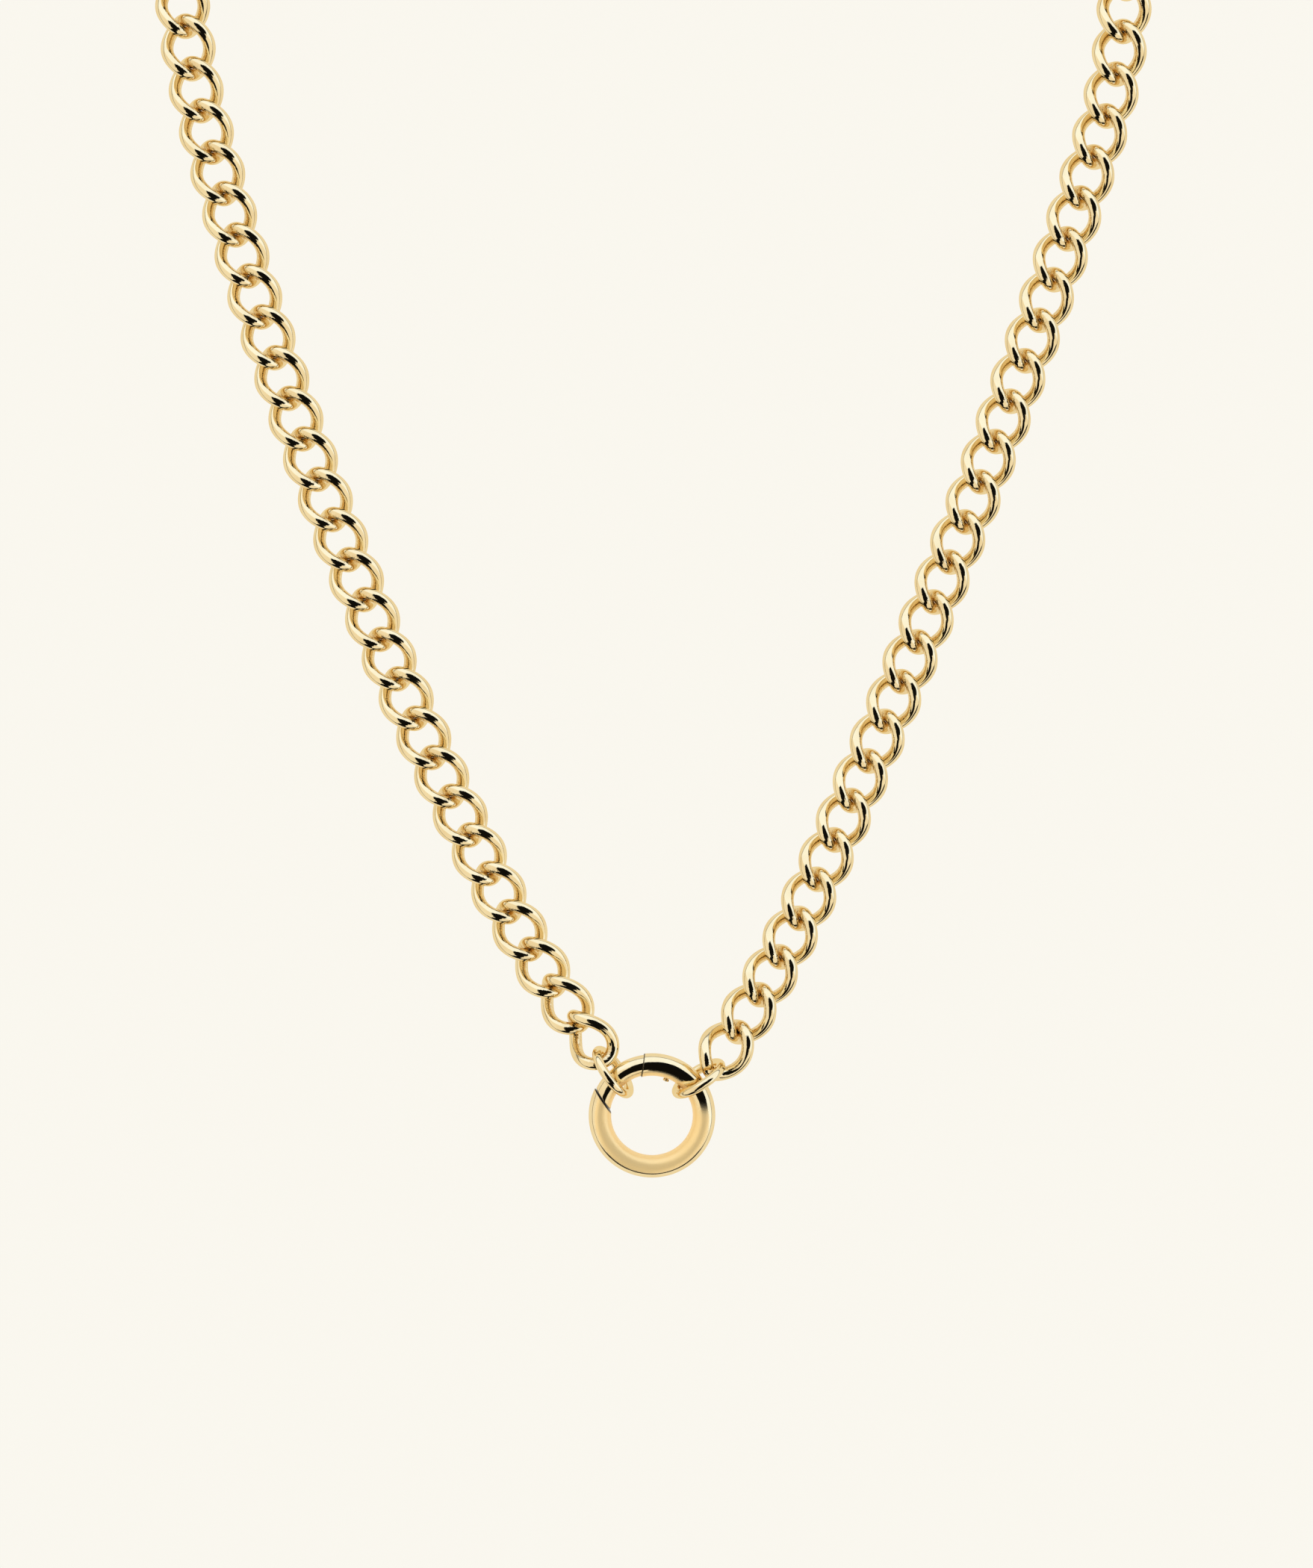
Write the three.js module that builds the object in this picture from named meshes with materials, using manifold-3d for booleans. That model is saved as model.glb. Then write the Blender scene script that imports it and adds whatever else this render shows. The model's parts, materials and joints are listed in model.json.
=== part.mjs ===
// Curb-chain necklace, laid flat in a loop: a round bolt-ring clasp, and two strands of curb links that hang from
// it by jump rings. Their last links lie end to end behind the neck, where the loop is opened by a small gap.
// Millimetres, +Z up, +Y from the clasp to the back of the neck.
import * as THREE from "three";
import { mergeVertices } from "three/addons/utils/BufferGeometryUtils.js";
import Module from "manifold-3d";

const wasm = await Module();
wasm.setup();
const degrees = THREE.MathUtils.degToRad;
const MERGE_DISTANCE = 1e-4; // points nearer than this are one

// Curb link: one oval of round wire, its two ends twisted opposite ways.
const PITCH = 4.75; // link centre to link centre
const LINK_HALF_LENGTH = 3.09; // to the middle of the wire
const LINK_HALF_WIDTH = 2.34;
const LINK_TWIST = degrees(50); // of each end, out of the link's own plane
const LINK_WIRE_RADIUS = 0.64;
const LINK_STEPS = 12;
const LINK_SIDES = 6;

// Strands. Headings are in degrees from +Y, at lengths in mm along the strand from the middle of its first link.
const LINKS_PER_SIDE = 45;
const SINGLE_LINKS = 24; // the rest are joined in rigid lengths behind the neck
const JOINED_LINKS = 7;
const BEAD_RADIUS = 0.75; // solder bead that joins two links
const STEPS_PER_PITCH = 10;
const STRAND_END = (LINKS_PER_SIDE - 0.5) * PITCH;
const REST_HEIGHT = 1.55; // middle of a link that lies flat
const FIRST_LIFT = 1.16; // extra height of the first link, which hangs from its jump ring
const LIFT_LENGTH = 6; // over which that lift dies away
const STRANDS = {
  left: {
    side: -1,
    start: [6.9, 8.5],
    headings: [[0, 36.2], [20, 27.2], [50, 22.6], [85, 18.4], [110, 14.9], [130.86, 0.8], [STRAND_END, -90]],
    rolls: [34, 21, 10, 3], // of the first links about their own length, right side up
    jumpRing: { centre: [-4.3, 4.83], heading: 125.5 },
  },
  right: {
    side: 1,
    start: [8.1, 7.3],
    headings: [[0, 33.5], [20, 24], [50, 22], [85, 19.5], [110, 17], [158.5, -28.72], [STRAND_END, -90]],
    rolls: [],
    jumpRing: { centre: [5.14, 4.12], heading: 33 },
  },
};

// Jump rings.
const JUMP_RADIUS = 2.85; // to the middle of the wire
const JUMP_WIRE_RADIUS = 0.46;
const JUMP_LEAN = degrees(15); // from upright
const JUMP_STEPS = 20;
const JUMP_SIDES = 8;

// Clasp: a ring of tube with a bolt that slides inside it. Angles run anticlockwise from +X.
const CLASP_RADIUS = 5.75; // to the middle of the tube
const TUBE_RADIUS = 1.25;
const BORE_RADIUS = 1.08;
const BOLT_RADIUS = 1.0;
const CLASP_TILT = degrees(10); // the jump rings hold its upper side off the table
const SEAT_ANGLE = degrees(161.7); // where the bolt's tip meets the tube
const SEAT_SLANT = degrees(-38); // from the radius
const MOUTH_ANGLE = degrees(100.4); // where the bolt comes out of the tube
const MOUTH_SLANT = degrees(-17.5);
const SEAM_GAP = 0.1;
const SEAM_BLOCK = 6; // side of a block that cuts a seam, and its thickness
const SEAM_BLOCK_THICKNESS = 3.2;
const SEAM_OVERLAP = degrees(18); // by which a sweep runs on past a seam before it is cut
const CLASP_SIDES = 12;
const TUBE_STEPS = 32;
const BOLT_STEPS = 15;
const BORE_END = degrees(26);
const BOLT_TAIL = degrees(61);
const TAB_ANGLE = degrees(69);
const BOLT_TRAVEL = degrees(15);
const TAB_LENGTH = 0.7; // along the tube
const TAB_WIDTH = 0.8; // across the tube
const TAB_STEM_RADIUS = 0.3;
const TAB_STEM_DEPTH = 0.45; // by which the stem stands in the bolt
const TAB_STEM_SIDES = 10;
const TAB_TOP = CLASP_RADIUS - TUBE_RADIUS - 0.33; // distance of the tab's face from the ring's middle
const TAB_THICKNESS = 0.28;
const TAB_BAND = 0.01; // straight band between the two domes of the tab's pad
const TAB_SIDES = 12;
const TAB_DOME_STEPS = 4;
const TAB_CLEARANCE = 0.12; // round the stem, in the tube's slot and in the bolt's hole
const HOLE_DEPTH = 0.6; // of the bolt's hole for the stem
const HOLE_SIDES = 12;
const SLOT_FROM = 1.6; // the slot is cut between these distances inwards from the tube's middle line
const SLOT_TO = 0.6;
const SLOT_STEPS = 4;
const SPRING_RADIUS = 0.72;
const SPRING_WIRE_RADIUS = 0.13;
const SPRING_TURNS = 7;
const SPRING_STEPS = 8; // to a turn
const SPRING_SIDES = 4;
const SPRING_GAP = degrees(1.6); // clear at each end of the spring

const GOLD = { color: 0xe6bf74, roughness: 0.12, metalness: 1 };
const SPRING_STEEL = { color: 0xb9b6ae, roughness: 0.3, metalness: 1 };

// The middle line of a curb link, long way along +Y, seen from +Z.
class CurbLine extends THREE.Curve {
  getPoint(t, target = new THREE.Vector3()) {
    const angle = 2 * Math.PI * t;
    const reach = LINK_HALF_WIDTH * Math.sin(angle);
    const twist = LINK_TWIST * Math.cos(angle);
    return target.set(reach * Math.cos(twist), LINK_HALF_LENGTH * Math.cos(angle), reach * Math.sin(twist));
  }
}

// An arc of the clasp, in the ring's own plane.
class ClaspArc extends THREE.Curve {
  constructor(from, to) {
    super();
    this.from = from;
    this.to = to;
  }
  getPoint(t, target = new THREE.Vector3()) {
    const angle = THREE.MathUtils.lerp(this.from, this.to, t);
    return target.set(CLASP_RADIUS * Math.cos(angle), CLASP_RADIUS * Math.sin(angle), 0);
  }
}

// The coil spring behind the bolt, wound round the same arc.
class SpringLine extends ClaspArc {
  getPoint(t, target = new THREE.Vector3()) {
    const angle = THREE.MathUtils.lerp(this.from, this.to, t);
    const turn = 2 * Math.PI * SPRING_TURNS * t;
    const reach = CLASP_RADIUS + SPRING_RADIUS * Math.cos(turn);
    return target.set(reach * Math.cos(angle), reach * Math.sin(angle), SPRING_RADIUS * Math.sin(turn));
  }
}

function toSolid(geometry) {
  const bare = geometry.clone();
  bare.deleteAttribute("normal");
  bare.deleteAttribute("uv");
  const merged = mergeVertices(bare, MERGE_DISTANCE);
  const vertProperties = new Float32Array(merged.attributes.position.array);
  const triVerts = new Uint32Array(merged.index.array);
  return new wasm.Manifold(new wasm.Mesh({ numProp: 3, vertProperties, triVerts }));
}

function toGeometry(solid) {
  const mesh = solid.getMesh();
  const geometry = new THREE.BufferGeometry();
  geometry.setAttribute("position", new THREE.BufferAttribute(mesh.vertProperties, 3));
  geometry.setIndex(new THREE.BufferAttribute(mesh.triVerts, 1));
  geometry.computeVertexNormals();
  return geometry;
}

function makeMesh(name, geometry, finish) {
  const mesh = new THREE.Mesh(geometry, new THREE.MeshStandardMaterial(finish));
  mesh.name = name;
  return mesh;
}

// A round bar swept along a curve, with one flat of its many sides facing down.
function roundBar(curve, radius, steps, sides) {
  const section = new THREE.Shape();
  const turn = Math.PI / sides;
  section.absarc(0, 0, radius, turn, turn + 2 * Math.PI);
  const settings = { steps, curveSegments: sides / 2, bevelEnabled: false, extrudePath: curve };
  return new THREE.ExtrudeGeometry(section, settings);
}

// A block whose face is a seam of the clasp; along = +1 fills the side that angles grow towards.
function seamBlock(angle, slant, along, gap) {
  const block = new THREE.BoxGeometry(SEAM_BLOCK, SEAM_BLOCK_THICKNESS, SEAM_BLOCK);
  block.translate(0, along * (SEAM_BLOCK_THICKNESS / 2 + gap), 0);
  block.rotateZ(angle + slant);
  block.translate(CLASP_RADIUS * Math.cos(angle), CLASP_RADIUS * Math.sin(angle), 0);
  return toSolid(block);
}

function claspTube() {
  const around = new ClaspArc(SEAT_ANGLE - SEAM_OVERLAP, MOUTH_ANGLE + 2 * Math.PI + SEAM_OVERLAP);
  const bore = new ClaspArc(BORE_END, MOUTH_ANGLE + SEAM_OVERLAP);
  let tube = toSolid(roundBar(around, TUBE_RADIUS, TUBE_STEPS, CLASP_SIDES));
  tube = tube.subtract(seamBlock(SEAT_ANGLE, SEAT_SLANT, -1, 0));
  tube = tube.subtract(seamBlock(MOUTH_ANGLE, MOUTH_SLANT, 1, 0));
  tube = tube.subtract(toSolid(roundBar(bore, BORE_RADIUS, BOLT_STEPS, CLASP_SIDES)));
  return toGeometry(tube.subtract(tabSlot()));
}

// The slot on the inner side of the tube, along which the tab's stem slides.
function tabSlot() {
  const half = (TAB_STEM_RADIUS + TAB_CLEARANCE) / (CLASP_RADIUS - TUBE_RADIUS);
  const slot = new THREE.Shape();
  const from = TAB_ANGLE - BOLT_TRAVEL - half;
  const to = TAB_ANGLE + half;
  slot.absarc(0, 0, CLASP_RADIUS - SLOT_TO, from, to, false);
  slot.absarc(0, 0, CLASP_RADIUS - SLOT_FROM, to, from, true);
  const depth = 2 * (TAB_STEM_RADIUS + TAB_CLEARANCE);
  const block = new THREE.ExtrudeGeometry(slot, { depth, curveSegments: SLOT_STEPS, bevelEnabled: false });
  block.translate(0, 0, -depth / 2);
  return toSolid(block);
}

function claspBolt() {
  const path = new ClaspArc(BOLT_TAIL, SEAT_ANGLE + SEAM_OVERLAP);
  let bolt = toSolid(roundBar(path, BOLT_RADIUS, BOLT_STEPS, CLASP_SIDES));
  bolt = bolt.subtract(seamBlock(SEAT_ANGLE, SEAT_SLANT, 1, -SEAM_GAP));
  const holeRadius = TAB_STEM_RADIUS + TAB_CLEARANCE;
  const hole = new THREE.CylinderGeometry(holeRadius, holeRadius, 2 * HOLE_DEPTH, HOLE_SIDES);
  hole.translate(0, CLASP_RADIUS - BOLT_RADIUS, 0);
  hole.rotateZ(TAB_ANGLE - Math.PI / 2);
  return toGeometry(bolt.subtract(toSolid(hole)));
}

// The thumb tab: a rounded pad on a stem that stands in the bolt.
function thumbTab() {
  const pad = new THREE.CapsuleGeometry(TAB_WIDTH / 2, TAB_BAND, TAB_DOME_STEPS, TAB_SIDES);
  pad.rotateX(Math.PI / 2);
  pad.scale(TAB_LENGTH / TAB_WIDTH, TAB_THICKNESS / TAB_WIDTH, 1);
  pad.translate(0, TAB_TOP + TAB_THICKNESS / 2, 0);
  const stemLength = CLASP_RADIUS - BOLT_RADIUS + TAB_STEM_DEPTH - TAB_TOP - TAB_THICKNESS / 2;
  const stem = new THREE.CylinderGeometry(TAB_STEM_RADIUS, TAB_STEM_RADIUS, stemLength, TAB_STEM_SIDES);
  stem.translate(0, TAB_TOP + TAB_THICKNESS / 2 + stemLength / 2, 0);
  const tab = toGeometry(toSolid(pad).add(toSolid(stem)));
  tab.rotateZ(TAB_ANGLE - Math.PI / 2);
  return tab;
}

function boltSpring() {
  const path = new SpringLine(BORE_END + SPRING_GAP, BOLT_TAIL - SPRING_GAP);
  return roundBar(path, SPRING_WIRE_RADIUS, SPRING_TURNS * SPRING_STEPS, SPRING_SIDES);
}

function makeClasp() {
  const clasp = new THREE.Group();
  clasp.add(makeMesh("clasp_tube", claspTube(), GOLD));
  clasp.add(makeMesh("clasp_bolt", claspBolt(), GOLD));
  clasp.add(makeMesh("clasp_thumb_tab", thumbTab(), GOLD));
  clasp.add(makeMesh("clasp_spring", boltSpring(), SPRING_STEEL));
  clasp.rotation.x = CLASP_TILT;
  clasp.position.z = CLASP_RADIUS * Math.sin(CLASP_TILT) + TUBE_RADIUS;
  return clasp;
}

function makeJumpRing(name, { centre, heading }) {
  const torus = new THREE.TorusGeometry(JUMP_RADIUS, JUMP_WIRE_RADIUS, JUMP_SIDES, JUMP_STEPS);
  const ring = makeMesh(name, torus, GOLD);
  const along = new THREE.Vector3(Math.cos(degrees(heading)), Math.sin(degrees(heading)), 0);
  const sideways = Math.sign(centre[0]);
  const up = new THREE.Vector3(along.y, -along.x, 0).multiplyScalar(sideways * Math.sin(JUMP_LEAN));
  up.z = Math.cos(JUMP_LEAN);
  const place = new THREE.Matrix4().makeBasis(along, up, along.clone().cross(up));
  place.setPosition(centre[0], centre[1], JUMP_RADIUS * Math.cos(JUMP_LEAN) + JUMP_WIRE_RADIUS);
  ring.applyMatrix4(place);
  return ring;
}

// The heading at a length along the strand, in radians from +Y.
function headingAt(headings, length) {
  const next = Math.max(1, headings.findIndex(([at]) => at >= length));
  const [fromLength, from] = headings[next - 1];
  const [toLength, to] = headings[next];
  return degrees(THREE.MathUtils.mapLinear(length, fromLength, toLength, from, to));
}

// The matrix of every link of a strand, walked in short steps from its first link.
function linkPlaces({ side, start, headings, rolls }) {
  const places = [];
  const step = PITCH / STEPS_PER_PITCH;
  let [x, y] = start;
  for (let i = 0; i <= (LINKS_PER_SIDE - 1) * STEPS_PER_PITCH; i++) {
    const length = i * step;
    if (i % STEPS_PER_PITCH === 0) {
      const lift = FIRST_LIFT * Math.exp(-length / LIFT_LENGTH);
      const turn = new THREE.Matrix4().makeRotationZ(-side * headingAt(headings, length));
      const pitchDown = new THREE.Matrix4().makeRotationX(-Math.atan(lift / LIFT_LENGTH));
      const roll = new THREE.Matrix4().makeRotationY(-degrees(rolls[places.length] ?? 0));
      const place = new THREE.Matrix4().makeTranslation(side * x, y, REST_HEIGHT + lift);
      places.push(place.multiply(turn).multiply(pitchDown).multiply(roll));
    }
    const heading = headingAt(headings, length + step / 2);
    x += Math.sin(heading) * step;
    y += Math.cos(heading) * step;
  }
  return places;
}

function makeStrand(sideName, strand) {
  const group = new THREE.Group();
  const places = linkPlaces(strand);
  const link = new THREE.TubeGeometry(new CurbLine(), LINK_STEPS, LINK_WIRE_RADIUS, LINK_SIDES, true);
  const linkSolid = toSolid(link);
  const linkNumber = (index) => String(index + 1).padStart(2, "0");
  for (let i = 0; i < SINGLE_LINKS; i++) {
    const mesh = makeMesh(`link_${sideName}_${linkNumber(i)}`, link, GOLD);
    mesh.applyMatrix4(places[i]);
    group.add(mesh);
  }
  for (let first = SINGLE_LINKS; first < LINKS_PER_SIDE; first += JOINED_LINKS) {
    let joined = linkSolid.transform(places[first].elements);
    for (let i = first + 1; i < first + JOINED_LINKS; i++) {
      const bead = new THREE.IcosahedronGeometry(BEAD_RADIUS, 0);
      const before = new THREE.Vector3().setFromMatrixPosition(places[i - 1]);
      const middle = new THREE.Vector3().setFromMatrixPosition(places[i]).lerp(before, 0.5);
      bead.translate(middle.x, middle.y, middle.z);
      joined = joined.add(linkSolid.transform(places[i].elements)).add(toSolid(bead));
    }
    const name = `links_${sideName}_${linkNumber(first)}_to_${linkNumber(first + JOINED_LINKS - 1)}`;
    group.add(makeMesh(name, toGeometry(joined), GOLD));
  }
  group.add(makeJumpRing(`jump_ring_${sideName}`, strand.jumpRing));
  return group;
}

// The part's origin is under the middle of its own box.
function standOnOrigin(group) {
  group.updateMatrixWorld(true);
  const box = new THREE.Box3().setFromObject(group, true);
  const middle = box.getCenter(new THREE.Vector3());
  group.position.set(-middle.x, -middle.y, -box.min.z);
}

const necklace = new THREE.Group();
necklace.add(makeClasp());
for (const [sideName, strand] of Object.entries(STRANDS)) necklace.add(makeStrand(sideName, strand));
standOnOrigin(necklace);

export default necklace;
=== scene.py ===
"""The chain necklace's looks: smooth curb links, jump rings and a bolt-ring clasp in polished gold.

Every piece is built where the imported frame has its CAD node, and rides that node's body.
Metres, +Z up, +Y from the clasp to the back of the neck.
"""

import json
import math

import bmesh
import bpy
from mathutils import Matrix, Vector, noise


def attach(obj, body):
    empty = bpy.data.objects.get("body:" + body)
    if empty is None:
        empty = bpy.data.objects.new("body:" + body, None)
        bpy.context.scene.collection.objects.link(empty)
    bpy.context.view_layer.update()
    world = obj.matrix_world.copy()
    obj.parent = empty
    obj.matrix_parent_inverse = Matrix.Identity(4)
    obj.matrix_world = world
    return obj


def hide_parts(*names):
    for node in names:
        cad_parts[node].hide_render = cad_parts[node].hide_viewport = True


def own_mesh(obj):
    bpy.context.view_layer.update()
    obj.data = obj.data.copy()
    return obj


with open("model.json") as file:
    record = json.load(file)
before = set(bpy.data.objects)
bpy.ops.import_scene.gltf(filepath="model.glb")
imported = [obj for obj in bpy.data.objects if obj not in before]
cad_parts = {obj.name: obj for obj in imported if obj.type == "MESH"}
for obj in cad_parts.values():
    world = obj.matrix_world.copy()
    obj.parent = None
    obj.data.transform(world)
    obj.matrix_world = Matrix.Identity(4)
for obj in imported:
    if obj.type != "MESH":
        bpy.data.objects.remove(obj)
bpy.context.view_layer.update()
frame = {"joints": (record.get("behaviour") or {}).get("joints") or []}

# Curb link: one oval of round wire, its two ends twisted opposite ways.
PITCH = 0.00475
LINK_HALF_LENGTH = 0.00309
LINK_HALF_WIDTH = 0.00234
LINK_TWIST = math.radians(50)
LINK_WIRE_RADIUS = 0.000705
LINK_STEPS = 80
LINK_SIDES = 24
WIRE_UNEVENNESS = 0.000007
UNEVEN_SIZE = 0.0011

# Creases on a link's wire, bumped and with painted shade in their folds. The edges are cosines: of the turn
# round the wire, 1 on its inner side, and of the angle round the link, 1 at its two ends.
SIDE_CREASE = 0.5
SIDE_CREASE_EDGE = (0.2, 0.8)
END_CREASE_EDGE = (0.6, 0.95)
END_CREASE_TURN = (-0.6, 0.3)

# Strands. Headings are in degrees from +Y, at lengths along the strand from the middle of its first link.
# Rolls are those of the first links, in degrees.
LINKS_PER_SIDE = 45
SINGLE_LINKS = 24
JOINED_LINKS = 7
STEPS_PER_PITCH = 10
STRAND_END = (LINKS_PER_SIDE - 0.5) * PITCH
REST_HEIGHT = 0.00155
FIRST_LIFT = 0.00116
LIFT_LENGTH = 0.006
STRANDS = {
    "left": {
        "side": -1,
        "start": (0.0069, 0.0085),
        "headings": (
            (0, 36.2), (0.02, 27.2), (0.05, 22.6), (0.085, 18.4), (0.11, 14.9), (0.13086, 0.8),
            (STRAND_END, -90),
        ),
        "rolls": (34, 21, 10, 3),
        "jump_centre": (-0.0043, 0.00483),
        "jump_heading": math.radians(125.5),
    },
    "right": {
        "side": 1,
        "start": (0.0081, 0.0073),
        "headings": (
            (0, 33.5), (0.02, 24), (0.05, 22), (0.085, 19.5), (0.11, 17), (0.1585, -28.72),
            (STRAND_END, -90),
        ),
        "rolls": (),
        "jump_centre": (0.00514, 0.00412),
        "jump_heading": math.radians(33),
    },
}

# Jump rings.
JUMP_RADIUS = 0.00285
JUMP_WIRE_RADIUS = 0.00053
JUMP_LEAN = math.radians(15)
JUMP_STEPS = 96
JUMP_SIDES = 24
BUTT_ANGLE = math.radians(250)
BUTT_DEPTH = 0.00004
BUTT_WIDTH = 0.00005
BUTT_CROWDING = 0.155

# Clasp: a ring of tube with a bolt that slides inside it. Angles run anticlockwise from +X.
# EDGE_SHADE_AND_TARNISH, the darkness of painted shade with some tarnish in the seams, goes round an edge
# from its cut face to the side.
CLASP_RADIUS = 0.00575
TUBE_RADIUS = 0.00125
BORE_RADIUS = 0.00119
BOLT_RADIUS = 0.00112
CLASP_TILT = math.radians(10)
CLASP_SIDES = 48
TUBE_STEPS = 150
BOLT_STEPS = 60
SEAT = {"angle": math.radians(161.7), "slant": math.radians(-38)}
MOUTH = {"angle": math.radians(100.4), "slant": math.radians(-17.5)}
SEAM_GAP = 0.00013
EDGE_RADIUS = 0.00009
MOUTH_EDGE_DEPTH = 0.00016
MOUTH_EDGE_DROP = 0.000022
EDGE_STEPS = 4
EDGE_SHADE_AND_TARNISH = (1.0, 1.0, 1.0, 0.6, 0.0)
BORE_END = math.radians(26)
BOLT_TAIL = math.radians(61)
TAB_ANGLE = math.radians(69)
BOLT_TRAVEL = math.radians(15)
TAB_HALF_LENGTH = 0.00035
TAB_HALF_WIDTH = 0.0004
TAB_TOP = 0.00417
TAB_THICKNESS = 0.00028
TAB_STEM_RADIUS = 0.00015
TAB_SIDES = 32
SLOT_HALF_WIDTH = 0.00042
SLOT_DEPTH = TUBE_RADIUS / 2
SLOT_OVERRUN = TUBE_RADIUS / 3
SLOT_CORNER_STEPS = 12
SPRING_RADIUS = 0.00072
SPRING_WIRE_RADIUS = 0.00013
SPRING_TURNS = 7
SPRING_STEPS = 24
SPRING_SIDES = 10
SPRING_GAP = math.radians(1.6)

# The pad of the thumb tab from its top down: pairs of depth and width, as shares of the whole.
TAB_PAD = (
    (0.0, 0.62), (0.06, 0.78), (0.16, 0.9), (0.3, 0.97), (0.5, 1.0),
    (0.7, 0.97), (0.85, 0.9), (0.95, 0.8), (1.0, 0.7),
)

# Edges that bend more than this are sharp.
SHARP_ANGLE = math.radians(40)
TAB_SHARP_ANGLE = math.radians(60)

# Photograph: looked at straight down from above, with the back of the necklace outside the frame. The
# sensor's size is the one along the picture's height, its longer side.
CAMERA_HEIGHT = 0.868
CAMERA_LENS = 180
CAMERA_REACH = 100
SENSOR_SIZE = 36
VIEW_CENTRE = (0.0005, 0.0366)

slide = next(joint for joint in frame["joints"] if joint["name"] == "clasp_bolt_slide")
CLASP_CENTRE = Vector(slide["pos_m"])
ORIGIN = CLASP_CENTRE - Vector((0, 0, CLASP_RADIUS * math.sin(CLASP_TILT) + TUBE_RADIUS))


# ---------------------------------------------------------------- meshes


def make_piece(name, vertices, faces, wire=None, sharp=SHARP_ANGLE):
    """A smooth mesh object from points and faces, its normals outward and its hard edges sharp.
    wire gives each point's place on the straightened wire: how far along, and where in its section."""
    mesh = bpy.data.meshes.new(name)
    mesh.from_pydata(vertices, [], faces)
    shell = bmesh.new()
    shell.from_mesh(mesh)
    bmesh.ops.recalc_face_normals(shell, faces=shell.faces)
    shell.to_mesh(mesh)
    shell.free()
    mesh.shade_smooth()
    mesh.set_sharp_from_angle(angle=sharp)
    if wire:
        places = mesh.attributes.new("wire", "FLOAT_VECTOR", "POINT")
        places.data.foreach_set("vector", [number for place in wire for number in place])
    piece = bpy.data.objects.new(name, mesh)
    bpy.context.scene.collection.objects.link(piece)
    return piece


def darken_seam(piece, shades):
    """Keeps how dark each section of a swept clasp piece is: painted shade, with some tarnish, in its seams.
    """
    sides = len(piece.data.vertices) // len(shades)
    shade_and_tarnish = piece.data.attributes.new("shade_and_tarnish", "FLOAT", "POINT")
    shade_and_tarnish.data.foreach_set("value", [shade for shade in shades for _ in range(sides)])


def skin(rings, looped):
    """The points and faces of a skin over rings of points. If it isn't looped, flat faces close its ends."""
    sides = len(rings[0])
    points = [point for ring in rings for point in ring]
    faces = []
    for i in range(len(rings) if looped else len(rings) - 1):
        here = i * sides
        there = (i + 1) % len(rings) * sides
        for j in range(sides):
            k = (j + 1) % sides
            faces.append((here + j, here + k, there + k, there + j))
    if not looped:
        faces.append(tuple(range(sides)))
        faces.append(tuple(range(len(points) - sides, len(points))))
    return points, faces


def section_angles(sides):
    return [2 * math.pi * j / sides for j in range(sides)]


def smooth_step(value, low, high):
    share = min(max((value - low) / (high - low), 0), 1)
    return share * share * (3 - 2 * share)


# ---------------------------------------------------------------- chain links


def curb_point(angle):
    """A point of a link's middle line, long way along +Y, seen from +Z."""
    reach = LINK_HALF_WIDTH * math.sin(angle)
    twist = LINK_TWIST * math.cos(angle)
    return Vector((reach * math.cos(twist), LINK_HALF_LENGTH * math.cos(angle), reach * math.sin(twist)))


def heading_at(headings, length):
    """The heading at a length along a strand, in radians from +Y."""
    for (from_length, from_heading), (to_length, to_heading) in zip(headings, headings[1:]):
        if length <= to_length:
            break
    share = (length - from_length) / (to_length - from_length)
    return math.radians(from_heading + share * (to_heading - from_heading))


def link_places(strand):
    """The matrix of every link of a strand, walked in short steps from its first link."""
    places = []
    step = PITCH / STEPS_PER_PITCH
    side = strand["side"]
    x, y = strand["start"]
    for i in range((LINKS_PER_SIDE - 1) * STEPS_PER_PITCH + 1):
        length = i * step
        if i % STEPS_PER_PITCH == 0:
            lift = FIRST_LIFT * math.exp(-length / LIFT_LENGTH)
            roll = strand["rolls"][len(places)] if len(places) < len(strand["rolls"]) else 0
            place = Matrix.Translation(ORIGIN + Vector((side * x, y, REST_HEIGHT + lift)))
            place @= Matrix.Rotation(-side * heading_at(strand["headings"], length), 4, "Z")
            place @= Matrix.Rotation(-math.atan(lift / LIFT_LENGTH), 4, "X")
            place @= Matrix.Rotation(-math.radians(roll), 4, "Y")
            places.append(place)
        heading = heading_at(strand["headings"], length + step / 2)
        x += math.sin(heading) * step
        y += math.cos(heading) * step
    return places


def crease_share(angle, turn):
    """How creased the wire is: most on the inner side of a link's two ends, less on that of its sides."""
    inwards = -math.cos(turn)
    side = SIDE_CREASE * smooth_step(inwards, *SIDE_CREASE_EDGE)
    end = smooth_step(abs(math.cos(angle)), *END_CREASE_EDGE) * smooth_step(inwards, *END_CREASE_TURN)
    return max(side, end)


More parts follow.
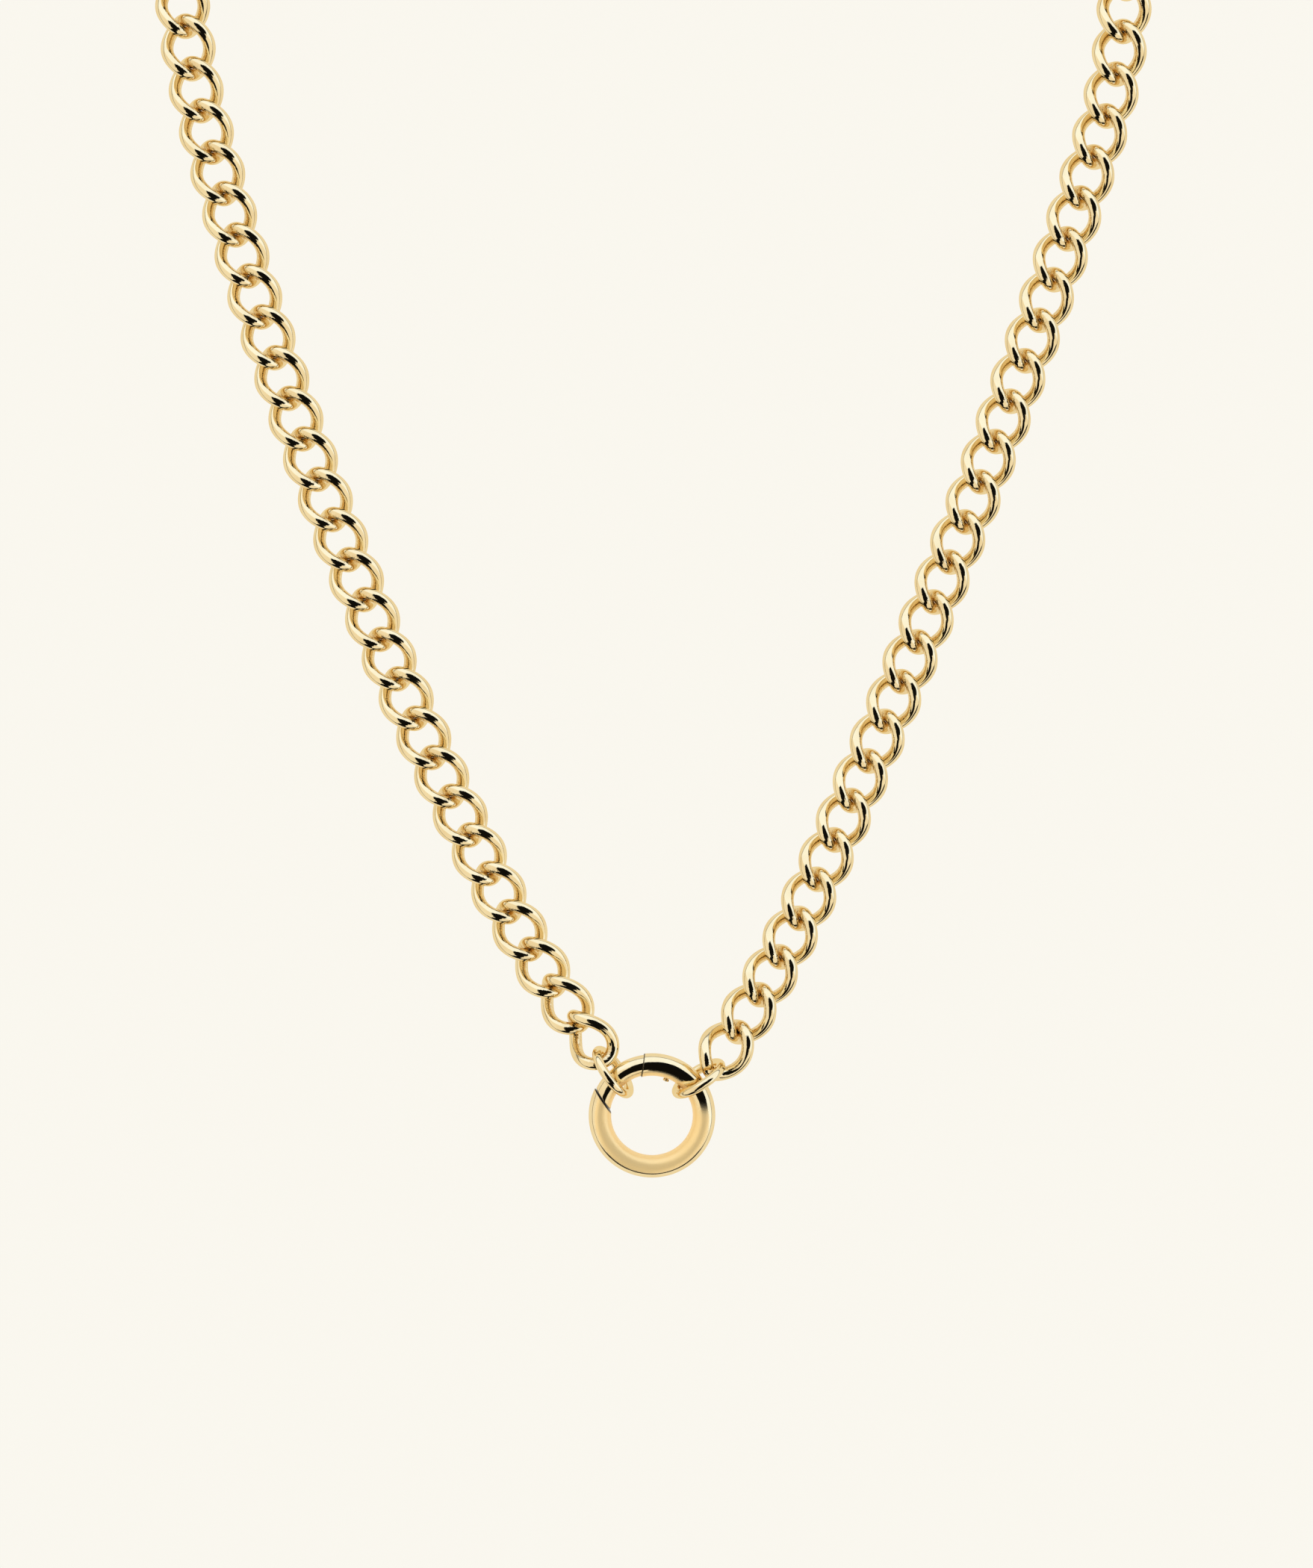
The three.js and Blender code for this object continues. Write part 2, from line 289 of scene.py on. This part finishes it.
def make_link(name, place):
    """One curb link of round wire, as uneven as hand-polished wire is."""
    rings = []
    wire = []
    along = 0
    nudge = 0.01
    before = curb_point(0)
    for i in range(LINK_STEPS):
        angle = 2 * math.pi * i / LINK_STEPS
        middle = curb_point(angle)
        along += (middle - before).length
        before = middle
        forward = (curb_point(angle + nudge) - curb_point(angle - nudge)).normalized()
        outward = (middle - forward * middle.dot(forward)).normalized()
        across = forward.cross(outward)
        ring = []
        for turn in section_angles(LINK_SIDES):
            direction = outward * math.cos(turn) + across * math.sin(turn)
            point = place @ (middle + direction * LINK_WIRE_RADIUS)
            uneven = noise.noise(point / UNEVEN_SIZE) * WIRE_UNEVENNESS
            ring.append(point + place.to_3x3() @ direction * uneven)
            wire.append((along, LINK_WIRE_RADIUS * math.cos(turn), LINK_WIRE_RADIUS * math.sin(turn)))
        rings.append(ring)
    points, faces = skin(rings, looped=True)
    piece = make_piece(name, points, faces, wire)
    bend = piece.data.attributes.new("inner_bend", "FLOAT", "POINT")
    bend.data.foreach_set("value", [
        crease_share(angle, turn)
        for angle in section_angles(LINK_STEPS)
        for turn in section_angles(LINK_SIDES)
    ])
    return piece


# ---------------------------------------------------------------- jump rings


def make_jump_ring(name, strand):
    """A ring of wire whose two cut ends meet in a fine groove."""
    heading = strand["jump_heading"]
    along = Vector((math.cos(heading), math.sin(heading), 0))
    up = Vector((along.y, -along.x, 0)) * (strand["side"] * math.sin(JUMP_LEAN))
    up.z = math.cos(JUMP_LEAN)
    across = along.cross(up)
    x, y = strand["jump_centre"]
    height = JUMP_RADIUS * math.cos(JUMP_LEAN) + JUMP_WIRE_RADIUS
    centre = ORIGIN + Vector((x, y, height))
    rings = []
    for i in range(JUMP_STEPS):
        # Steps crowd towards the groove, where the share is 0.
        share = i / JUMP_STEPS
        angle = 2 * math.pi * (share - BUTT_CROWDING * math.sin(2 * math.pi * share))
        from_butt = JUMP_RADIUS * min(angle, 2 * math.pi - angle)
        radius = JUMP_WIRE_RADIUS - BUTT_DEPTH * math.exp(-((from_butt / BUTT_WIDTH) ** 2))
        outward = along * math.cos(angle + BUTT_ANGLE) + up * math.sin(angle + BUTT_ANGLE)
        middle = centre + outward * JUMP_RADIUS
        ring = []
        for turn in section_angles(JUMP_SIDES):
            direction = outward * math.cos(turn) + across * math.sin(turn)
            ring.append(middle + direction * radius)
        rings.append(ring)
    points, faces = skin(rings, looped=True)
    return make_piece(name, points, faces)


# ---------------------------------------------------------------- clasp


def seam_angle(seam, reach, offset):
    """Where round the ring a seam's slanted plane, moved along its normal by offset, lies at a distance from
    the ring's middle."""
    from_middle = -CLASP_RADIUS * math.sin(seam["slant"]) + offset
    return seam["angle"] + seam["slant"] + math.pi / 2 - math.acos(from_middle / reach)


def clasp_point(reach, angle, height):
    flat = Vector((reach * math.cos(angle), reach * math.sin(angle), height))
    return CLASP_CENTRE + Matrix.Rotation(CLASP_TILT, 3, "X") @ flat


def clasp_ring(radius, angle_at):
    """A section of the clasp's tube or bolt. angle_at gives the angle round the ring at each distance from
    its middle."""
    ring = []
    for turn in section_angles(CLASP_SIDES):
        reach = CLASP_RADIUS + radius * math.cos(turn)
        ring.append(clasp_point(reach, angle_at(reach), radius * math.sin(turn)))
    return ring


def rounded_edge(radius, drop=EDGE_RADIUS, depth=EDGE_RADIUS):
    """Pairs of section radius and depth behind a cut face, round the edge between the face and the side."""
    for i in range(EDGE_STEPS + 1):
        turn = math.pi / 2 * i / EDGE_STEPS
        yield radius - drop * (1 - math.sin(turn)), depth * (1 - math.cos(turn))


def sweep(radius, start, end, steps):
    """Sections of one radius from one slanted end to another, without the two end sections."""
    for i in range(1, steps):
        share = i / steps
        yield clasp_ring(radius, lambda reach: start(reach) + share * (end(reach) - start(reach)))


def make_clasp_tube():
    """The tube from the bolt's seat round to the mouth, then in along its bore."""
    whole = 2 * math.pi

    def seat(offset):
        return lambda reach: seam_angle(SEAT, reach, offset)

    def mouth(offset):
        return lambda reach: whole + seam_angle(MOUTH, reach, -offset)

    def bore_end(reach):
        return whole + BORE_END

    def mouth_rings(radius, drop):
        edge = rounded_edge(radius, drop, MOUTH_EDGE_DEPTH)
        return [clasp_ring(size, mouth(depth)) for size, depth in edge]

    rings = [clasp_ring(radius, seat(depth)) for radius, depth in rounded_edge(TUBE_RADIUS)]
    rings += sweep(TUBE_RADIUS, seat(EDGE_RADIUS), mouth(MOUTH_EDGE_DEPTH), TUBE_STEPS)
    rings += reversed(mouth_rings(TUBE_RADIUS, MOUTH_EDGE_DROP))
    # How much painted shade, with some tarnish, each section of the tube gets.
    shades = [*EDGE_SHADE_AND_TARNISH, *[0.0] * (TUBE_STEPS - 1), *reversed(EDGE_SHADE_AND_TARNISH)]
    rings += mouth_rings(BORE_RADIUS, -MOUTH_EDGE_DROP)
    rings += sweep(BORE_RADIUS, mouth(MOUTH_EDGE_DEPTH), bore_end, BOLT_STEPS)
    rings.append(clasp_ring(BORE_RADIUS, bore_end))
    # The bore is painted dark all the way in, as painted shade.
    shades += [1.0] * (len(rings) - len(shades))
    points, faces = skin(rings, looped=False)
    tube = make_piece("clasp_tube_smooth", points, faces)
    darken_seam(tube, shades)
    cut_slot(tube)
    return tube


def cut_slot(tube):
    """The slot with round ends along which the tab's stem slides, cut through the inner side of the tube."""
    wall = CLASP_RADIUS - TUBE_RADIUS
    ends = ((TAB_ANGLE, -math.pi / 2), (TAB_ANGLE - BOLT_TRAVEL, math.pi / 2))
    outline = []
    for angle, start in ends:
        for i in range(SLOT_CORNER_STEPS + 1):
            turn = start + math.pi * i / SLOT_CORNER_STEPS
            ahead = SLOT_HALF_WIDTH * math.cos(turn) / wall
            outline.append((angle + ahead, SLOT_HALF_WIDTH * math.sin(turn)))
    rings = [
        [clasp_point(reach, angle, height) for angle, height in outline]
        for reach in (CLASP_RADIUS - SLOT_DEPTH, wall - SLOT_OVERRUN)
    ]
    cutter = make_piece("slot_cutter", *skin(rings, looped=False))
    cut = tube.modifiers.new("slot", "BOOLEAN")
    cut.operation = "DIFFERENCE"
    cut.solver = "EXACT"
    cut.object = cutter
    shaped = bpy.data.meshes.new_from_object(tube.evaluated_get(bpy.context.evaluated_depsgraph_get()))
    tube.modifiers.clear()
    tube.data = shaped
    tube.data.set_sharp_from_angle(angle=SHARP_ANGLE)
    bpy.data.objects.remove(cutter)


def make_clasp_bolt():
    """The bolt from its slanted tip, which stands in the seat, to its tail inside the tube."""

    def tip(offset):
        return lambda reach: seam_angle(SEAT, reach, -SEAM_GAP - offset)

    def tail(offset):
        return lambda reach: BOLT_TAIL + offset / CLASP_RADIUS

    rings = [clasp_ring(radius, tip(depth)) for radius, depth in rounded_edge(BOLT_RADIUS)]
    rings += sweep(BOLT_RADIUS, tip(EDGE_RADIUS), tail(EDGE_RADIUS), BOLT_STEPS)
    rings += reversed([clasp_ring(radius, tail(depth)) for radius, depth in rounded_edge(BOLT_RADIUS)])
    points, faces = skin(rings, looped=False)
    bolt = make_piece("clasp_bolt_smooth", points, faces)
    # Painted shade, with some tarnish, round the edge of the bolt's tip.
    darken_seam(bolt, [*EDGE_SHADE_AND_TARNISH, *[0.0] * (len(rings) - len(EDGE_SHADE_AND_TARNISH))])
    return bolt


def make_thumb_tab():
    """A small domed pad on a stem that stands in the bolt."""
    stem_end = CLASP_RADIUS - BOLT_RADIUS / 2
    rings = []
    for depth, share in TAB_PAD:
        reach = TAB_TOP + depth * TAB_THICKNESS
        rings.append(tab_ring(reach, share * TAB_HALF_LENGTH, share * TAB_HALF_WIDTH))
    for reach in (TAB_TOP + TAB_THICKNESS, stem_end):
        rings.append(tab_ring(reach, TAB_STEM_RADIUS, TAB_STEM_RADIUS))
    points, faces = skin(rings, looped=False)
    return make_piece("clasp_thumb_tab_smooth", points, faces, sharp=TAB_SHARP_ANGLE)


def tab_ring(reach, half_length, half_width):
    """An oval section of the tab, square to the line from the ring's middle out to it."""
    ring = []
    for turn in section_angles(TAB_SIDES):
        angle = TAB_ANGLE + half_length * math.cos(turn) / reach
        ring.append(clasp_point(reach, angle, half_width * math.sin(turn)))
    return ring


def make_spring():
    """The coil spring between the bore's end and the bolt's tail."""
    start = BORE_END + SPRING_GAP
    end = BOLT_TAIL - SPRING_GAP
    count = SPRING_TURNS * SPRING_STEPS
    nudge = 0.001

    def coil_point(share):
        turn = 2 * math.pi * SPRING_TURNS * share
        angle = start + share * (end - start)
        reach = CLASP_RADIUS + SPRING_RADIUS * math.cos(turn)
        return clasp_point(reach, angle, SPRING_RADIUS * math.sin(turn))

    rings = []
    for i in range(count + 1):
        share = i / count
        middle = coil_point(share)
        core = clasp_point(CLASP_RADIUS, start + share * (end - start), 0)
        forward = (coil_point(share + nudge) - coil_point(share - nudge)).normalized()
        outward = middle - core
        outward = (outward - forward * outward.dot(forward)).normalized()
        across = forward.cross(outward)
        rings.append([
            middle + (outward * math.cos(turn) + across * math.sin(turn)) * SPRING_WIRE_RADIUS
            for turn in section_angles(SPRING_SIDES)
        ])
    points, faces = skin(rings, looped=False)
    return make_piece("clasp_spring_smooth", points, faces)


# ---------------------------------------------------------------- materials

POLISHED = 0.07
DRAWN = 0.28

# Unevenness of a metal's tone, roughness and height. Edges are values of the noise, ranges are shares.
TONE_NOISE = {"Scale": 420.0, "Detail": 3.0}
TONE_EDGE = (0.35, 0.75)
TONE_RANGE = (0.0, 0.35)
RUB_NOISE = {"Scale": 1500.0, "Detail": 4.0}
RUB_EDGE = (0.35, 0.75)
RUB_RANGE = (0.75, 1.35)
SWELL_NOISE = {"Scale": 900.0, "Detail": 2.5}
SWELL_HEIGHT = 0.000012
SCRATCH_NOISE = {"Scale": 26000.0, "Detail": 2.0}
SCRATCH_STRETCH = (1.0, 1.0, 0.35)
SCRATCH_DEPTH = 0.0000005
CREASE_NOISE = {"Scale": 3600.0, "Detail": 2.0}
CREASE_STRETCH = (0.7, 0.3, 0.3)
CREASE_EDGE = (0.40, 0.60)
CREASE_DEPTH = 0.000014
# Painted shade in the creases' folds: how strong it is, and its deeper gold.
CREASE_SHADE_STRENGTH = 0.45
CREASE_SHADE_GOLD = (0.55, 0.31, 0.09, 1)
EDGE_TINT = (0.95, 0.84, 0.62, 1)

# The clasp's satin. Its edges go from no satin to full satin: along the slope, in radii of the ring, and by
# the distance from the ring's middle.
SATIN_SLOPE = (0.2, 1.0, 0.0)
SATIN_EDGE = (0.52, 0.12)
SATIN_RIM = (0.00652, 0.0063)
SATIN_INSIDE = (0.0056, 0.0050)
SATIN_ROUGHNESS = 0.40
SATIN_METAL = 0.42
SATIN_GOLD = (1.0, 0.71, 0.31, 1)
LACQUER = 0.3
LACQUER_ROUGHNESS = 0.05
# Painted shade, with some tarnish, in the clasp's seams and bore, and its roughness.
SEAM_SHADE_AND_TARNISH = (0.035, 0.022, 0.01, 1)
SEAM_SHADE_AND_TARNISH_ROUGHNESS = 0.6


class Nodes:
    """Short ways to add and join the nodes of one tree."""

    def __init__(self, tree):
        self.tree = tree
        tree.nodes.clear()

    def add(self, kind, settings=None, **inputs):
        node = self.tree.nodes.new("ShaderNode" + kind)
        for key, value in (settings or {}).items():
            setattr(node, key, value)
        for key, value in inputs.items():
            self.put(node.inputs[key.replace("_", " ")], value)
        return node

    def put(self, socket, value):
        if isinstance(value, bpy.types.NodeSocket):
            self.tree.links.new(value, socket)
        else:
            socket.default_value = value

    def maths(self, operation, *values):
        node = self.tree.nodes.new("ShaderNodeMath")
        node.operation = operation
        for socket, value in zip(node.inputs, values):
            self.put(socket, value)
        return node.outputs[0]

    def vectors(self, operation, *values):
        node = self.tree.nodes.new("ShaderNodeVectorMath")
        node.operation = operation
        for socket, value in zip(node.inputs, values):
            self.put(socket, value)
        return node.outputs["Value" if operation in ("DOT_PRODUCT", "LENGTH", "DISTANCE") else "Vector"]

    def grain(self, place, noise_settings):
        return self.add("TexNoise", Vector=place, **noise_settings).outputs["Fac"]

    def ramp(self, value, low, high, to_low=0.0, to_high=1.0):
        node = self.add("MapRange", {"interpolation_type": "SMOOTHSTEP"})
        for socket, number in zip(node.inputs, (value, low, high, to_low, to_high)):
            self.put(socket, number)
        return node.outputs["Result"]

    def blend(self, share, first, second):
        # A mix of colours has its share in socket 0, its colours in 6 and 7, and its result in 2.
        node = self.add("Mix", {"data_type": "RGBA"})
        for index, value in ((0, share), (6, first), (7, second)):
            self.put(node.inputs[index], value)
        return node.outputs[2]


def satin_inside(nodes, place):
    """1 on the inner side of the clasp's ring, which is satin all the way round."""
    return nodes.ramp(nodes.vectors("DISTANCE", place, CLASP_CENTRE), *SATIN_INSIDE)


def satin_body(nodes, place):
    """1 on the satin body and inner side of the clasp's ring, 0 on its polished mouth and outer rim."""
    from_centre = nodes.vectors("SUBTRACT", place, CLASP_CENTRE)
    towards_mouth = nodes.vectors("DOT_PRODUCT", from_centre, Vector(SATIN_SLOPE) / CLASP_RADIUS)
    within_rim = nodes.ramp(nodes.vectors("LENGTH", from_centre), *SATIN_RIM)
    body = nodes.maths("MULTIPLY", nodes.ramp(towards_mouth, *SATIN_EDGE), within_rim)
    return nodes.maths("MAXIMUM", body, satin_inside(nodes, place))


def make_metal(name, colour, deep_colour, roughness, creases=False, satin=None, seams=False):
    """Metal with a faint change of tone, a skin that isn't quite even and hairline scratches. creases adds
    the fine ones where a link's wire is bent, with painted shade in their folds; satin gives the share of a
    satin finish at each place, and seams adds painted shade, with some tarnish, in the clasp's seams."""
    material = bpy.data.materials.new(name)
    material.use_nodes = True
    nodes = Nodes(material.node_tree)
    place = nodes.add("TexCoord").outputs["Object"]

    tone = nodes.ramp(nodes.grain(place, TONE_NOISE), *TONE_EDGE, *TONE_RANGE)
    tint = nodes.blend(tone, colour, deep_colour)
    rub_range = [roughness * share for share in RUB_RANGE]
    rough = nodes.ramp(nodes.grain(place, RUB_NOISE), *RUB_EDGE, *rub_range)
    metal = 1.0
    if satin:
        share = satin(nodes, place)
        rough = nodes.ramp(share, 0.0, 1.0, rough, SATIN_ROUGHNESS)
        metal = nodes.ramp(share, 0.0, 1.0, 1.0, SATIN_METAL)
        tint = nodes.blend(share, tint, SATIN_GOLD)
    # Painted shade, with some tarnish, darkens and roughens the clasp's seams and bore.
    if seams:
        shade_and_tarnish = nodes.add("Attribute", {"attribute_name": "shade_and_tarnish"}).outputs["Fac"]
        tint = nodes.blend(shade_and_tarnish, tint, SEAM_SHADE_AND_TARNISH)
        rough = nodes.ramp(shade_and_tarnish, 0.0, 1.0, rough, SEAM_SHADE_AND_TARNISH_ROUGHNESS)

    scratches = nodes.grain(nodes.vectors("MULTIPLY", place, SCRATCH_STRETCH), SCRATCH_NOISE)
    height = nodes.maths("MULTIPLY", nodes.grain(place, SWELL_NOISE), SWELL_HEIGHT)
    height = nodes.maths("ADD", height, nodes.maths("MULTIPLY", scratches, SCRATCH_DEPTH))
    if creases:
        wire = nodes.add("Attribute", {"attribute_name": "wire"}).outputs["Vector"]
        inner = nodes.add("Attribute", {"attribute_name": "inner_bend"}).outputs["Fac"]
        folded = nodes.vectors("ADD", nodes.vectors("MULTIPLY", wire, CREASE_STRETCH), place)
        folds = nodes.ramp(nodes.grain(folded, CREASE_NOISE), *CREASE_EDGE)
        folds = nodes.maths("MULTIPLY", folds, inner)
        height = nodes.maths("ADD", height, nodes.maths("MULTIPLY", folds, CREASE_DEPTH))
        # Painted shade: the folds are tinted a deeper gold.
        tint = nodes.blend(nodes.maths("MULTIPLY", folds, CREASE_SHADE_STRENGTH), tint, CREASE_SHADE_GOLD)
    bump = nodes.add("Bump", Height=height, Strength=1.0, Distance=1.0).outputs["Normal"]

    shader = nodes.add(
        "BsdfPrincipled",
        Base_Color=tint,
        Metallic=metal,
        Roughness=rough,
        Specular_Tint=EDGE_TINT,
        Coat_Weight=LACQUER if satin else 0.0,
        Coat_Roughness=LACQUER_ROUGHNESS,
        Normal=bump,
    )
    nodes.add("OutputMaterial", Surface=shader.outputs["BSDF"])
    return material


# ---------------------------------------------------------------- studio

PAPER_COLOUR = (0.956, 0.930, 0.855)
PAPER_DIFFUSE = (0.07, 0.067, 0.062)
PAPER_SHADE = 0.985
PAPER_NOISE = {"Scale": 1500.0, "Detail": 3.0}
PAPER_EDGE = (0.3, 0.7)
PAPER_GLOW = 0.925
PAPER_SIZE = 12.0
PAPER_DROP = 0.065

# The light tent. Places and sizes are those of the unit direction's x and y, seen from the necklace. The
# edges, GAP_TOP and NEAR_SIDE are pairs of values between which one light fades into another. Matt surfaces
# get DIFFUSE_LIGHT from every side instead.
TENT_COLOUR = (1.0, 0.975, 0.91, 1)
TENT_LIGHT = 1.0
SOFTBOX_COLOUR = (0.82, 0.93, 1.14, 1)
SOFTBOX_LIGHT = 1.38
SOFTBOX_SIDE = (0.55, 0.83, 0.0)
SOFTBOX_EDGE = (-0.02, 0.2)
DARK = 0.006
DARK_OPENINGS = (
    {"place": (0.20, 0.03), "size": (0.58, 0.48)},
    {"place": (0.0, -0.43), "size": (0.40, 0.33)},
    {"place": (-0.28, -0.86), "size": (0.32, 0.18)},
)
OPENING_EDGE = (1.04, 0.96)
OPENING_NOISE = {"Scale": 3.4, "Detail": 1.0}
OPENING_UNEVENNESS = 0.5
NOISE_MIDDLE = 0.5
DIFFUSE_LIGHT = 1.1
GAP_TOP = (0.05, 0.15)
GAP_LIGHT = 0.3
NEAR_SIDE = (-0.55, -0.8)
NEAR_GAP_RISE = 0.16
NEAR_GAP_LIGHT = 0.02


def make_floor_material():
    """Pale paper that glows, so that it looks evenly lit and shows no shadow."""
    material = bpy.data.materials.new("pale_paper")
    material.use_nodes = True
    nodes = Nodes(material.node_tree)
    place = nodes.add("TexCoord").outputs["Object"]
    shade = nodes.ramp(nodes.grain(place, PAPER_NOISE), *PAPER_EDGE)
    darker = [PAPER_SHADE * channel for channel in PAPER_DIFFUSE]
    shader = nodes.add(
        "BsdfPrincipled",
        Base_Color=nodes.blend(shade, (*PAPER_DIFFUSE, 1), (*darker, 1)),
        Roughness=1.0,
        Specular_IOR_Level=0.0,
        Emission_Color=(*PAPER_COLOUR, 1),
        Emission_Strength=PAPER_GLOW,
    )
    nodes.add("OutputMaterial", Surface=shader.outputs["BSDF"])
    return material


def make_floor():
    """The paper. It lies well below the necklace, so that it hides nothing when a strand swings down."""
    half = PAPER_SIZE / 2
    corners = [(x * half, y * half, -PAPER_DROP) for x, y in ((-1, -1), (1, -1), (1, 1), (-1, 1))]
    mesh = bpy.data.meshes.new("floor")
    mesh.from_pydata(corners, [], [(0, 1, 2, 3)])
    mesh.materials.append(make_floor_material())
    floor = bpy.data.objects.new("floor", mesh)
    bpy.context.scene.collection.objects.link(floor)


def opening_distance(nodes, flat, opening):
    """How far a direction lies from the middle of an oval opening: 1 at its edge."""
    from_middle = nodes.vectors("SUBTRACT", flat, (*opening["place"], 0))
    return nodes.vectors("LENGTH", nodes.vectors("DIVIDE", from_middle, (*opening["size"], 1)))


def make_world():
    """A white light tent: a bright softbox on the far side, dark openings overhead and towards the near side,
    and a dark gap round the foot. The camera itself sees the paper's colour all round."""
    world = bpy.data.worlds.new("light_tent")
    world.use_nodes = True
    bpy.context.scene.world = world
    nodes = Nodes(world.node_tree)
    direction = nodes.add("TexCoord").outputs["Generated"]
    parts = nodes.add("SeparateXYZ", Vector=direction).outputs

    towards_softbox = nodes.vectors("DOT_PRODUCT", direction, SOFTBOX_SIDE)
    softbox = nodes.ramp(towards_softbox, *SOFTBOX_EDGE)
    light = nodes.ramp(softbox, 0.0, 1.0, TENT_LIGHT, SOFTBOX_LIGHT)
    near = nodes.ramp(parts["Y"], *NEAR_SIDE)
    gap_light = nodes.ramp(near, 0.0, 1.0, GAP_LIGHT, NEAR_GAP_LIGHT)
    height = nodes.maths("SUBTRACT", parts["Z"], nodes.maths("MULTIPLY", near, NEAR_GAP_RISE))
    above_gap = nodes.ramp(height, *GAP_TOP)
    light = nodes.maths("MULTIPLY", light, nodes.ramp(above_gap, 0.0, 1.0, gap_light, 1.0))

    flat = nodes.add("CombineXYZ", X=parts["X"], Y=parts["Y"]).outputs["Vector"]
    uneven = nodes.maths("SUBTRACT", nodes.grain(flat, OPENING_NOISE), NOISE_MIDDLE)
    uneven = nodes.maths("MULTIPLY", uneven, OPENING_UNEVENNESS)
    nearest = opening_distance(nodes, flat, DARK_OPENINGS[0])
    for opening in DARK_OPENINGS[1:]:
        nearest = nodes.maths("MINIMUM", nearest, opening_distance(nodes, flat, opening))
    inside = nodes.ramp(nodes.maths("ADD", nearest, uneven), *OPENING_EDGE)
    light = nodes.ramp(inside, 0.0, 1.0, light, DARK)

    path = nodes.add("LightPath").outputs
    light = nodes.ramp(path["Is Diffuse Ray"], 0.0, 1.0, light, DIFFUSE_LIGHT)
    tent_colour = nodes.blend(softbox, TENT_COLOUR, SOFTBOX_COLOUR)
    tent = nodes.add("Background", Color=tent_colour, Strength=light)
    backdrop = nodes.add("Background", Color=(*PAPER_COLOUR, 1), Strength=1.0)
    mixed = nodes.add("MixShader", Fac=path["Is Camera Ray"])
    world.node_tree.links.new(tent.outputs[0], mixed.inputs[1])
    world.node_tree.links.new(backdrop.outputs[0], mixed.inputs[2])
    nodes.add("OutputWorld", Surface=mixed.outputs[0])


def make_camera():
    data = bpy.data.cameras.new("camera")
    data.lens = CAMERA_LENS
    data.sensor_width = SENSOR_SIZE
    data.clip_end = CAMERA_REACH
    camera = bpy.data.objects.new("camera", data)
    camera.location = ORIGIN + Vector((*VIEW_CENTRE, CAMERA_HEIGHT))
    bpy.context.scene.collection.objects.link(camera)
    bpy.context.scene.camera = camera
    bpy.context.scene.view_settings.view_transform = "Standard"


# ---------------------------------------------------------------- assembly


def place_piece(piece, material, body, node):
    """Gives a piece its finish and body, and lets it stand for its CAD node."""
    piece.data.materials.clear()
    piece.data.materials.append(material)
    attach(piece, body)
    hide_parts(node)


def body_of_link(side, number):
    """The body that a link rides, which is also its CAD node: its own, or that of its joined length."""
    if number <= SINGLE_LINKS:
        return f"link_{side}_{number:02d}"
    first = number - (number - SINGLE_LINKS - 1) % JOINED_LINKS
    return f"links_{side}_{first:02d}_to_{first + JOINED_LINKS - 1:02d}"


GOLD = (0.89, 0.725, 0.425, 1)
DEEP_GOLD = (0.76, 0.535, 0.24, 1)
STEEL = (0.60, 0.59, 0.56, 1)
DARK_STEEL = (0.42, 0.41, 0.39, 1)
link_gold = make_metal("link_gold", GOLD, DEEP_GOLD, POLISHED, creases=True)
jump_ring_gold = make_metal("jump_ring_gold", GOLD, DEEP_GOLD, POLISHED)
clasp_gold = make_metal("clasp_gold", GOLD, DEEP_GOLD, POLISHED)
clasp_body_gold = make_metal("clasp_body_gold", GOLD, DEEP_GOLD, POLISHED, satin=satin_body, seams=True)
clasp_bolt_gold = make_metal("clasp_bolt_gold", GOLD, DEEP_GOLD, POLISHED, satin=satin_inside, seams=True)
spring_steel = make_metal("spring_steel", STEEL, DARK_STEEL, DRAWN)

make_camera()
make_world()
make_floor()

for side_name, strand in STRANDS.items():
    for index, place in enumerate(link_places(strand)):
        link = make_link(f"curb_link_{side_name}_{index + 1:02d}", place)
        body = body_of_link(side_name, index + 1)
        place_piece(link, link_gold, body, body)
    jump_ring = make_jump_ring(f"wire_ring_{side_name}", strand)
    body = f"jump_ring_{side_name}"
    place_piece(jump_ring, jump_ring_gold, body, body)

place_piece(make_clasp_tube(), clasp_body_gold, "clasp", "clasp_tube")
place_piece(make_clasp_bolt(), clasp_bolt_gold, "bolt", "clasp_bolt")
place_piece(make_thumb_tab(), clasp_gold, "bolt", "clasp_thumb_tab")
spring = make_spring()
place_piece(spring, spring_steel, "clasp", "clasp_spring")
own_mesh(spring)
